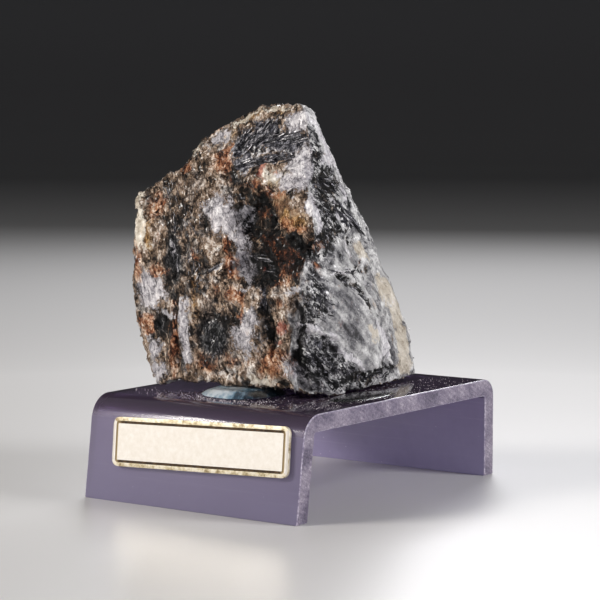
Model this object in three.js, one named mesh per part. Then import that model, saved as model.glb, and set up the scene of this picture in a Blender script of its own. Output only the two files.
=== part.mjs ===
// Stibnite (antimonite) in quartz on a bent acrylic display stand, in millimetres, +Z up.
// Pieces are laid out about the middle of the stand; the last group moves the whole
// object so that its origin is the bottom centre of its own box.

import * as THREE from 'three';
import { ConvexGeometry } from 'three/addons/geometries/ConvexGeometry.js';
import { mergeVertices } from 'three/addons/utils/BufferGeometryUtils.js';

// Driving dimensions of the stand
const standWidth = 60;
const sheetThickness = 4;
const standTop = 23.4;
const frontFootY = -40.6;
const rearFaceY = 41.0;
const frontSplay = THREE.MathUtils.degToRad(8);
const frontBendRadius = 6;
const rearBendRadius = 4.2;
const innerBendRadius = 0.8;
const edgeBevel = 0.25;
const bendSegments = 10;

// Label plate on the front leg
const plateWidth = 49;
const plateHeight = 11.2;
const plateThickness = 1;
const plateCorner = 1.7;
const plateBevel = 0.2;
const plateCornerSegments = 8;
const plateCentreX = 2.6;
const plateUpLeg = 14.6;
const plateTurn = THREE.MathUtils.degToRad(2.3);
const jointGap = 0.3;

// From the middle of the stand to the middle of the whole object's box
const frameShift = { x: 3.16, y: -0.115 };

// Specimen and glue
const stoneCentre = new THREE.Vector3(-6, 0, 52);
const stoneDetail = 15;
const stoneRoughness = [{ scale: 9, height: 0.55 }, { scale: 4.5, height: 0.35 }];
const stoneShrink = 0.2;
const undersideZ = 25.7;
const footZ = standTop + jointGap + 0.05;
const glueRimSegments = 8;
const glueSides = 48;
const gluePad = { x: -0.7, y: -18.3, reachX: 9.8, reachY: 10, bottomZ: standTop + jointGap, topZ: 25.3 };
const glueFilm = { x: 24.7, y: -8, reachX: 4.8, reachY: 11, thickness: 0.7 };

// The stone's broken corners, from foot to crest
const stoneCorners = {
  foot: [
    [-25.2, -19.8, 22.6], [15.2, -19, 22.6], [19, -9, 22.6], [16.8, 28.5, 22.6],
    [2, 32, 24], [-17, 27, 24.5], [-28, 11, 24.5], [-29, -15.5, 25],
  ],
  low: [[-33, -15.4, 32], [15.8, -20, 33], [19.5, -6, 34], [14.6, 28.2, 34], [-32, 6, 33]],
  waist: [
    [-36.2, -13.8, 46], [-33, -19.2, 47], [15.6, -20.6, 47], [18.5, -2, 47],
    [11.6, 24.6, 47], [-5, 26, 46], [-24, 20, 46], [-34, 6, 46],
  ],
  shoulder: [
    [-36.3, -13.5, 57], [-33.6, -18.8, 60], [19.3, -18, 62], [15, 5, 60],
    [8.3, 16.3, 60], [-6, 19, 62], [-24, 13, 62], [-33, 1, 62],
  ],
  rim: [
    [-35.7, -15.6, 68.2], [-31, -12, 71.8], [-25, -10, 76], [-18.2, -9, 82.8],
    [-9, -8, 88], [16.2, -16.6, 71], [7.3, 9.6, 73], [-18, 6, 75],
  ],
  crest: [
    [-1, -8, 89.3], [8.5, -9, 90.2], [10.8, -9, 90], [12.4, -9.5, 87],
    [12.4, -12.5, 80], [6.6, 0.2, 86], [-6, 1, 88], [6.6, 3.6, 79],
  ],
};

// Swellings (positive height) and hollows (negative height), each a soft round patch
const stoneRelief = [
  { at: [14, -20, 66], radius: 8, height: 2 },
  { at: [3, -19, 65], radius: 7.5, height: -3 },
  { at: [2, -20, 53], radius: 6, height: -2 },
  { at: [18, -14, 54], radius: 7, height: -2.4 },
  { at: [19, -2, 38], radius: 13, height: 1.6 },
  { at: [-25.5, -10.5, 75.5], radius: 7, height: -2.4 },
  { at: [9, 20, 54], radius: 5, height: -1.2 },
  { at: [11, 24, 47], radius: 4, height: 0.8 },
  { at: [7, 1, 83], radius: 5, height: -1.2 },
  { at: [-18, -19, 40], radius: 9, height: 0.8 },
  { at: [-10, 24, 70], radius: 11, height: -2 },
  { at: [-30, 6, 40], radius: 10, height: -1.6 },
];

// Long grooves that follow a line: the cleft beside the front slab and the hollows along the sides
const stoneGrooves = [
  { from: [15, -19.5, 46], to: [16, -18.5, 22], width: 3.6, depth: 1.5 },
  { from: [12, 12, 50], to: [15, 20, 28], width: 4.5, depth: 1.5 },
  { from: [-28, -18, 44], to: [-24, -19, 30], width: 4, depth: 0.9 },
  { from: [-14, 26, 60], to: [-6, 30, 26], width: 6, depth: 1.4 },
];

// Where the underside comes down to the stand: feet and the long right-hand edge
const stoneFeet = [
  { from: [-24.8, -19.4], to: [-24, -17], reach: 4 },
  { from: [15.5, -17.5], to: [18, -6], reach: 3 },
  { from: [17.5, -6], to: [16, 27], reach: 3.5 },
];

function hashCell(x, y, z) {
  let h = Math.imul(x, 374761393) + Math.imul(y, 668265263) + Math.imul(z, 974634777);
  h = Math.imul(h ^ (h >>> 13), 1274126177);
  return ((h ^ (h >>> 16)) >>> 0) / 4294967295;
}

// Smooth value noise from -1 to 1
function noise(point, scale) {
  const p = point.clone().divideScalar(scale);
  const cell = p.clone().floor();
  const t = p.sub(cell);
  const ease = (v) => v * v * (3 - 2 * v);
  let sum = 0;
  for (let i = 0; i < 8; i += 1) {
    const dx = i & 1;
    const dy = (i >> 1) & 1;
    const dz = i >> 2;
    const weightX = dx ? ease(t.x) : 1 - ease(t.x);
    const weightY = dy ? ease(t.y) : 1 - ease(t.y);
    const weightZ = dz ? ease(t.z) : 1 - ease(t.z);
    sum += weightX * weightY * weightZ * hashCell(cell.x + dx, cell.y + dy, cell.z + dz);
  }
  return 2 * sum - 1;
}

function softFall(distance, reach) {
  const t = THREE.MathUtils.clamp(1 - distance / reach, 0, 1);
  return t * t * (3 - 2 * t);
}

function distanceToLine(point, start, end) {
  const line = new THREE.Line3(start, end);
  return line.closestPointToPoint(point, true, new THREE.Vector3()).distanceTo(point);
}

// The flat faces of the block that spans all the corners, seen from the stone's centre
function blockFaces() {
  const points = Object.values(stoneCorners).flat().map((c) => new THREE.Vector3(...c));
  const position = new ConvexGeometry(points).getAttribute('position');
  const faces = [];
  for (let i = 0; i < position.count; i += 3) {
    const corners = [0, 1, 2].map((k) => new THREE.Vector3().fromBufferAttribute(position, i + k));
    const plane = new THREE.Plane().setFromCoplanarPoints(...corners);
    faces.push({ normal: plane.normal, reach: -plane.distanceToPoint(stoneCentre) });
  }
  return faces;
}

function reliefAt(point) {
  let height = 0;
  for (const patch of stoneRelief) {
    const distance = point.distanceTo(new THREE.Vector3(...patch.at));
    height += patch.height * softFall(distance, patch.radius);
  }
  for (const groove of stoneGrooves) {
    const start = new THREE.Vector3(...groove.from);
    const end = new THREE.Vector3(...groove.to);
    height -= groove.depth * softFall(distanceToLine(point, start, end), groove.width);
  }
  return height;
}

function undersideAt(point) {
  const level = new THREE.Vector3(point.x, point.y, 0);
  let nearFoot = 0;
  for (const foot of stoneFeet) {
    const start = new THREE.Vector3(...foot.from, 0);
    const end = new THREE.Vector3(...foot.to, 0);
    nearFoot = Math.max(nearFoot, softFall(distanceToLine(level, start, end), foot.reach));
  }
  return THREE.MathUtils.lerp(undersideZ, footZ, nearFoot);
}

function closedGeometry(geometry) {
  geometry.deleteAttribute('normal');
  geometry.deleteAttribute('uv');
  return mergeVertices(geometry, 1e-4);
}

function stoneGeometry() {
  const faces = blockFaces();
  const geometry = closedGeometry(new THREE.IcosahedronGeometry(1, stoneDetail));
  const position = geometry.getAttribute('position');
  for (let i = 0; i < position.count; i += 1) {
    const direction = new THREE.Vector3().fromBufferAttribute(position, i).normalize();
    let radius = Infinity;
    for (const face of faces) {
      const facing = face.normal.dot(direction);
      if (facing > 0) radius = Math.min(radius, face.reach / facing);
    }
    const point = stoneCentre.clone().addScaledVector(direction, radius);
    const rough = stoneRoughness.reduce((sum, wave) => sum + wave.height * noise(point, wave.scale), 0);
    point.addScaledVector(direction, reliefAt(point) + rough - stoneShrink);
    point.z = Math.max(point.z, undersideAt(point));
    position.setXYZ(i, point.x, point.y, point.z);
  }
  geometry.computeVertexNormals();
  return geometry;
}

// The sheet's outline seen from its end: y is across the stand, z is up
function standOutline() {
  const lean = Math.tan(frontSplay);
  const legThickness = sheetThickness / Math.cos(frontSplay);
  const underside = standTop - sheetThickness;
  const outerFrontY = (z) => frontFootY + z * lean;
  const innerFrontY = (z) => outerFrontY(z) + legThickness;
  const rearInnerY = rearFaceY - sheetThickness;
  const outline = new THREE.Path();
  outline.moveTo(frontFootY, 0);
  roundCorner(outline, [frontFootY, 0], [outerFrontY(standTop), standTop], [0, standTop], frontBendRadius);
  roundCorner(outline, [0, standTop], [rearFaceY, standTop], [rearFaceY, 0], rearBendRadius);
  outline.lineTo(rearFaceY, 0);
  outline.lineTo(rearInnerY, 0);
  roundCorner(outline, [rearInnerY, 0], [rearInnerY, underside], [0, underside], innerBendRadius);
  const innerBend = [innerFrontY(underside), underside];
  roundCorner(outline, [0, underside], innerBend, [innerFrontY(0), 0], innerBendRadius);
  outline.lineTo(innerFrontY(0), 0);
  outline.closePath();
  return outline;
}

// Draws a line to the corner and rounds it with an arc of the given radius
function roundCorner(path, before, corner, after, radius) {
  const middle = new THREE.Vector2(...corner);
  const inward = new THREE.Vector2(...before).sub(middle).normalize();
  const outward = new THREE.Vector2(...after).sub(middle).normalize();
  const half = Math.acos(inward.dot(outward)) / 2;
  const trim = radius / Math.tan(half);
  const start = middle.clone().addScaledVector(inward, trim);
  const end = middle.clone().addScaledVector(outward, trim);
  const centre = middle.clone().addScaledVector(inward.add(outward).normalize(), radius / Math.sin(half));
  const startAngle = Math.atan2(start.y - centre.y, start.x - centre.x);
  const endAngle = Math.atan2(end.y - centre.y, end.x - centre.x);
  const turn = (start.x - centre.x) * (end.y - centre.y) - (start.y - centre.y) * (end.x - centre.x);
  path.lineTo(start.x, start.y);
  path.absarc(centre.x, centre.y, radius, startAngle, endAngle, turn < 0);
}

function standGeometry() {
  const shape = new THREE.Shape(standOutline().getPoints(bendSegments));
  const geometry = new THREE.ExtrudeGeometry(shape, {
    depth: standWidth - 2 * edgeBevel,
    bevelEnabled: true,
    bevelThickness: edgeBevel,
    bevelSize: edgeBevel,
    bevelOffset: -edgeBevel,
    bevelSegments: 1,
  });
  geometry.translate(0, 0, edgeBevel - standWidth / 2);
  geometry.applyMatrix4(new THREE.Matrix4().set(0, 0, 1, 0, 1, 0, 0, 0, 0, 1, 0, 0, 0, 0, 0, 1));
  return closedGeometry(geometry);
}

function plateGeometry() {
  const x = plateWidth / 2;
  const y = plateHeight / 2;
  const r = plateCorner;
  const shape = new THREE.Shape();
  shape.moveTo(-x + r, -y);
  shape.lineTo(x - r, -y);
  shape.absarc(x - r, -y + r, r, -Math.PI / 2, 0);
  shape.absarc(x - r, y - r, r, 0, Math.PI / 2);
  shape.absarc(-x + r, y - r, r, Math.PI / 2, Math.PI);
  shape.absarc(-x + r, -y + r, r, Math.PI, 1.5 * Math.PI);
  return new THREE.ExtrudeGeometry(shape, {
    depth: plateThickness - 2 * plateBevel,
    bevelEnabled: true,
    bevelThickness: plateBevel,
    bevelSize: plateBevel,
    bevelOffset: -plateBevel,
    bevelSegments: 2,
    curveSegments: plateCornerSegments,
  });
}

// A squeezed-out round of glue with a rolled rim
function gluePadGeometry() {
  const thickness = gluePad.topZ - gluePad.bottomZ;
  const rim = thickness / 2;
  const profile = [new THREE.Vector2(0, 0)];
  for (let i = 0; i <= glueRimSegments; i += 1) {
    const angle = Math.PI * (i / glueRimSegments - 0.5);
    const reach = gluePad.reachY - rim + rim * Math.cos(angle);
    profile.push(new THREE.Vector2(reach, rim + rim * Math.sin(angle)));
  }
  profile.push(new THREE.Vector2(0, thickness));
  const geometry = new THREE.LatheGeometry(profile, glueSides);
  geometry.rotateX(Math.PI / 2);
  geometry.scale(gluePad.reachX / gluePad.reachY, 1, 1);
  return geometry;
}

// A thin clear film of glue that ran out beyond the right-hand face
function glueFilmGeometry() {
  const geometry = new THREE.SphereGeometry(1, 28, 14);
  geometry.rotateX(Math.PI / 2);
  geometry.scale(glueFilm.reachX, glueFilm.reachY, glueFilm.thickness / 2);
  return geometry;
}

const materials = {
  acrylic: new THREE.MeshStandardMaterial({ color: '#8d86a8', roughness: 0.08, metalness: 0 }),
  brass: new THREE.MeshStandardMaterial({ color: '#e6dcb8', roughness: 0.3, metalness: 1 }),
  stone: new THREE.MeshStandardMaterial({ color: '#8c7f72', roughness: 0.75, metalness: 0 }),
  glue: new THREE.MeshStandardMaterial({ color: '#7e93a3', roughness: 0.2, metalness: 0 }),
  clearGlue: new THREE.MeshStandardMaterial({ color: '#6b6276', roughness: 0.1, metalness: 0 }),
};

function piece(name, geometry, material) {
  const mesh = new THREE.Mesh(geometry, material);
  mesh.name = name;
  return mesh;
}

const stand = piece('acrylic_stand', standGeometry(), materials.acrylic);

const specimen = piece('stibnite_specimen', stoneGeometry(), materials.stone);

const plate = piece('label_plate', plateGeometry(), materials.brass);
plate.rotation.z = plateTurn;
plate.position.set(plateCentreX, plateUpLeg, jointGap + plateBevel);
const plateGroup = new THREE.Group();
plateGroup.add(plate);
plateGroup.position.set(0, frontFootY, 0);
plateGroup.rotation.x = Math.PI / 2 - frontSplay;

const pad = piece('glue_pad', gluePadGeometry(), materials.glue);
pad.position.set(gluePad.x, gluePad.y, gluePad.bottomZ);

const film = piece('glue_film', glueFilmGeometry(), materials.clearGlue);
film.position.set(glueFilm.x, glueFilm.y, standTop + jointGap + glueFilm.thickness / 2);

const assembly = new THREE.Group();
assembly.add(stand, specimen, plateGroup, pad, film);
assembly.position.set(frameShift.x, frameShift.y, 0);

export default assembly;
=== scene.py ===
import math
import random

import bmesh
import bpy
import numpy as np
from mathutils import Matrix, Vector, noise
from mathutils.bvhtree import BVHTree


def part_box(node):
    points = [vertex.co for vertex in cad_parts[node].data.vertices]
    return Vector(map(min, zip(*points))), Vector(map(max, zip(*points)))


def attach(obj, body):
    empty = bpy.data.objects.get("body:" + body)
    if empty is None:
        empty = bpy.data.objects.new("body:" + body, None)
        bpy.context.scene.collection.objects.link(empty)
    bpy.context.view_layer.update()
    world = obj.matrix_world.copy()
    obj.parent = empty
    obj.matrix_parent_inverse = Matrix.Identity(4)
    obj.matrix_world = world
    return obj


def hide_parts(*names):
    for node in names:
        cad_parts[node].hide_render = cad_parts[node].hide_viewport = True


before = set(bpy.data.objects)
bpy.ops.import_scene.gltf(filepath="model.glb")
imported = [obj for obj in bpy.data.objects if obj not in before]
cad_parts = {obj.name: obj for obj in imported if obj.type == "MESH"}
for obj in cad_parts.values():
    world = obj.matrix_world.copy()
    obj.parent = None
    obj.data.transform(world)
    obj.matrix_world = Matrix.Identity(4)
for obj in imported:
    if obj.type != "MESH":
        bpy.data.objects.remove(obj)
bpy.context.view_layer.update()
mm = 0.001
print("frame loaded", sorted(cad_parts))


def deselect():
    bpy.ops.object.select_all(action="DESELECT")


def activate(piece):
    deselect()
    piece.select_set(True)
    bpy.context.view_layer.objects.active = piece


def applyModifier(piece, kind, **settings):
    activate(piece)
    modifier = piece.modifiers.new(kind, kind)
    for name, value in settings.items():
        setattr(modifier, name, value)
    bpy.ops.object.modifier_apply(modifier=modifier.name)


def copyNode(node, name):
    # the node's mesh is loose triangles, so the copy is merged before it is shaped
    piece = bpy.data.objects.new(name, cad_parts[node].data.copy())
    bpy.context.scene.collection.objects.link(piece)
    piece.data.name = name
    piece.data.materials.clear()
    activate(piece)
    bpy.ops.object.mode_set(mode="EDIT")
    bpy.ops.mesh.select_all(action="SELECT")
    bpy.ops.mesh.remove_doubles(threshold=0.00001)
    bpy.ops.object.mode_set(mode="OBJECT")
    return piece


def pick(piece, kind, test):
    # in edit mode: selects only the edges or faces that pass the test
    bpy.ops.mesh.select_mode(type=kind)
    bpy.ops.mesh.select_all(action="DESELECT")
    mesh = bmesh.from_edit_mesh(piece.data)
    for part in mesh.edges if kind == "EDGE" else mesh.faces:
        part.select_set(test(part))
    bmesh.update_edit_mesh(piece.data)


def readPoints(mesh, what="vertices", field="co"):
    flat = np.empty(len(getattr(mesh, what)) * 3, np.float32)
    getattr(mesh, what).foreach_get(field, flat)
    return flat.reshape(-1, 3).astype(float)


def writePoints(mesh, points):
    mesh.vertices.foreach_set("co", points.astype(np.float32).ravel())
    mesh.update()


def smoothStep(low, high, value):
    t = np.clip((value - low) / (high - low), 0, 1)
    return t * t * (3 - 2 * t)


def linear(hexColour):
    channels = [int(hexColour[i:i + 2], 16) / 255 for i in (1, 3, 5)]
    return tuple(c / 12.92 if c <= 0.04045 else ((c + 0.055) / 1.055) ** 2.4 for c in channels) + (1,)


class Shader:
    # one material: each method adds nodes and hands back their output socket
    def __init__(self, name):
        self.material = bpy.data.materials.new(name)
        self.material.use_nodes = True
        self.nodes = self.material.node_tree.nodes
        self.links = self.material.node_tree.links
        self.bsdf = self.nodes["Principled BSDF"]
        self.output = self.nodes["Material Output"]

    def plug(self, socket, value):
        # a value is another node's output, a colour such as "#808080", or a plain number or vector
        if isinstance(value, bpy.types.NodeSocket):
            self.links.new(value, socket)
        else:
            socket.default_value = linear(value) if isinstance(value, str) else value

    def add(self, kind, inputs=None, **settings):
        node = self.nodes.new("ShaderNode" + kind)
        for name, value in settings.items():
            setattr(node, name, value)
        for name, value in (inputs or {}).items():
            self.plug(node.inputs[name], value)
        return node

    def turned(self, vector, angles, scale):
        # turned first, stretched afterwards
        turn = self.add("Mapping", {"Vector": vector, "Rotation": angles}).outputs[0]
        return self.add("Mapping", {"Vector": turn, "Scale": scale}).outputs[0]

    def place(self, scale=(1000, 1000, 1000), turn=(0, 0, 0)):
        # object coordinates in millimetres
        angles = tuple(math.radians(a) for a in turn)
        return self.turned(self.add("TexCoord").outputs["Object"], angles, scale)

    def noise(self, where, scale, detail=4, rough=0.6, distort=0, out=0):
        inputs = {"Vector": where, "Scale": scale, "Detail": detail, "Roughness": rough}
        return self.add("TexNoise", inputs | {"Distortion": distort}).outputs[out]

    def cells(self, where, scale, feature="F1", out="Distance"):
        return self.add("TexVoronoi", {"Vector": where, "Scale": scale}, feature=feature).outputs[out]

    def vector(self, operation, a, b, out=0):
        return self.add("VectorMath", {0: a, 1: b}, operation=operation).outputs[out]

    def channels(self, colour):
        return self.add("SeparateColor", {"Color": colour}).outputs

    def facets(self, where, scale):
        # flat chips, each leaning its own way: their random tones and their height
        cell = self.add("TexVoronoi", {"Vector": where, "Scale": scale}).outputs
        lean = self.vector("SUBTRACT", cell["Color"], (0.5, 0.5, 0.5))
        reach = self.vector("SUBTRACT", where, cell["Position"])
        height = self.vector("DOT_PRODUCT", lean, reach, "Value")
        return self.channels(cell["Color"]), height

    def math(self, operation, a, b=0.0, clamp=False):
        return self.add("Math", {0: a, 1: b}, operation=operation, use_clamp=clamp).outputs[0]

    def times(self, a, b):
        return self.math("MULTIPLY", a, b)

    def sum(self, *terms):
        total = None
        for socket, weight in terms:
            part = self.times(socket, weight)
            total = part if total is None else self.math("ADD", total, part)
        return total

    def step(self, value, low, high, top=1.0):
        inputs = {"Value": value, "From Min": low, "From Max": high, "To Max": top}
        return self.add("MapRange", inputs, interpolation_type="SMOOTHSTEP").outputs[0]

    def ramp(self, value, stops):
        node = self.add("ValToRGB", {"Fac": value})
        points = node.color_ramp.elements
        while len(points) < len(stops):
            points.new(0.5)
        for point, (position, colour) in zip(points, stops):
            point.position = position
            point.color = linear(colour)
        return node.outputs["Color"]

    def mix(self, amount, a, b):
        return self.add("Mix", {"Factor": amount, 6: a, 7: b}, data_type="RGBA").outputs[2]

    def blend(self, amount, a, b):
        return self.add("Mix", {"Factor": amount, 2: a, 3: b}, data_type="FLOAT").outputs[0]

    def field(self, name):
        return self.add("Attribute", attribute_name=name).outputs["Fac"]

    def bump(self, height, distance, strength=1.0):
        return self.add("Bump", {"Height": height, "Distance": distance, "Strength": strength}).outputs[0]

    def set(self, **inputs):
        for name, value in inputs.items():
            self.plug(self.bsdf.inputs[name.replace("_", " ")], value)


studio = {
    "azimuth": 35.6, "elevation": 5.58, "distance": 0.538, "lens": 140.7,
    "target": (0.01046, -0.0079, 0.0449),
    "floorRadius": 1.6, "coveRadius": 0.5, "coveHeight": 1.1,
    "floorColour": "#cfcecc", "wallColour": "#3c3c3f", "fadeFrom": 0.22, "fadeTo": 2.1,
    "roomColour": "#e4e6ea", "roomLight": 0.22,
}


def makeCamera():
    azimuth, elevation = math.radians(studio["azimuth"]), math.radians(studio["elevation"])
    back = Vector((math.sin(azimuth) * math.cos(elevation),
                   -math.cos(azimuth) * math.cos(elevation), math.sin(elevation)))
    bpy.ops.object.camera_add(location=Vector(studio["target"]) + back * studio["distance"])
    camera = bpy.context.object
    camera.name = "mainCamera"
    camera.rotation_mode = "QUATERNION"
    camera.rotation_quaternion = (-back).to_track_quat("-Z", "Y")
    camera.data.lens = studio["lens"]
    camera.data.sensor_width = 36
    camera.data.clip_start = 0.05
    camera.data.clip_end = 10
    bpy.context.scene.camera = camera


def makeFloor():
    # a flat disc whose rim is drawn up into a round cove and a low wall
    deselect()
    bpy.ops.mesh.primitive_circle_add(vertices=96, radius=studio["floorRadius"], fill_type="NGON")
    floor = bpy.context.object
    floor.name = "studioFloor"
    bpy.ops.object.mode_set(mode="EDIT")
    bpy.ops.mesh.select_all(action="SELECT")
    steps = 8
    for i in range(1, steps + 1):
        angle = math.radians(90 * i / steps)
        last = math.radians(90 * (i - 1) / steps)
        radius = studio["floorRadius"] + studio["coveRadius"] * math.sin(angle)
        before = studio["floorRadius"] + studio["coveRadius"] * math.sin(last)
        rise = studio["coveRadius"] * (math.cos(last) - math.cos(angle))
        bpy.ops.mesh.extrude_region_move(TRANSFORM_OT_translate={"value": (0, 0, rise)})
        bpy.ops.transform.resize(value=(radius / before, radius / before, 1), center_override=(0, 0, 0))
    bpy.ops.mesh.extrude_region_move(TRANSFORM_OT_translate={"value": (0, 0, studio["coveHeight"])})
    bpy.ops.mesh.delete(type="ONLY_FACE")
    bpy.ops.mesh.select_all(action="SELECT")
    bpy.ops.mesh.normals_make_consistent(inside=True)
    bpy.ops.object.mode_set(mode="OBJECT")
    bpy.ops.object.shade_smooth()
    floor.data.materials.append(floorMaterial())


def floorMaterial():
    # pale around the object, darker further out and up the cove
    paint = Shader("paleFloor")
    away = paint.add("VectorMath", {0: paint.place((1, 1, 1))}, operation="LENGTH").outputs["Value"]
    inputs = {"Value": away, "From Min": studio["fadeFrom"], "From Max": studio["fadeTo"]}
    fade = paint.math("POWER", paint.add("MapRange", inputs).outputs[0], 0.62)
    paint.set(Base_Color=paint.mix(fade, studio["floorColour"], studio["wallColour"]), Roughness=0.35)
    return paint.material


lights = {
    # name: position, size, power in watts, colour
    "keySoftbox": ((-0.5, -0.62, 0.46), (0.3, 0.3), 6.6, "#fffaf4"),
    "labelSoftbox": ((-0.62, -0.85, 0.2), (0.6, 0.35), 1.0, "#fffaf4"),
    "fillSoftbox": ((0.5, -0.62, 0.1), (0.35, 0.2), 2.0, "#fbf8ff"),
    "rimSoftbox": ((-0.3, 0.6, 0.42), (0.4, 0.3), 3.6, "#fbfbff"),
    "rightSoftbox": ((0.66, 0.2, 0.34), (0.25, 0.4), 4.4, "#fdfcff"),
}


def makeLights():
    for name, (place, size, power, colour) in lights.items():
        bpy.ops.object.light_add(type="AREA", location=place)
        lamp = bpy.context.object
        lamp.name = name
        lamp.data.shape = "RECTANGLE"
        lamp.data.size, lamp.data.size_y = size
        lamp.data.energy = power
        lamp.data.color = linear(colour)[:3]
        aim = Vector((0, 0, 0.05)) - Vector(place)
        lamp.rotation_mode = "QUATERNION"
        lamp.rotation_quaternion = aim.to_track_quat("-Z", "Y")
        lamp.visible_camera = False
    world = bpy.data.worlds.new("softRoom")
    bpy.context.scene.world = world
    world.use_nodes = True
    room = world.node_tree.nodes["Background"].inputs
    room["Color"].default_value = linear(studio["roomColour"])
    room["Strength"].default_value = studio["roomLight"]
    bpy.context.scene.view_settings.view_transform = "Standard"


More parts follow.
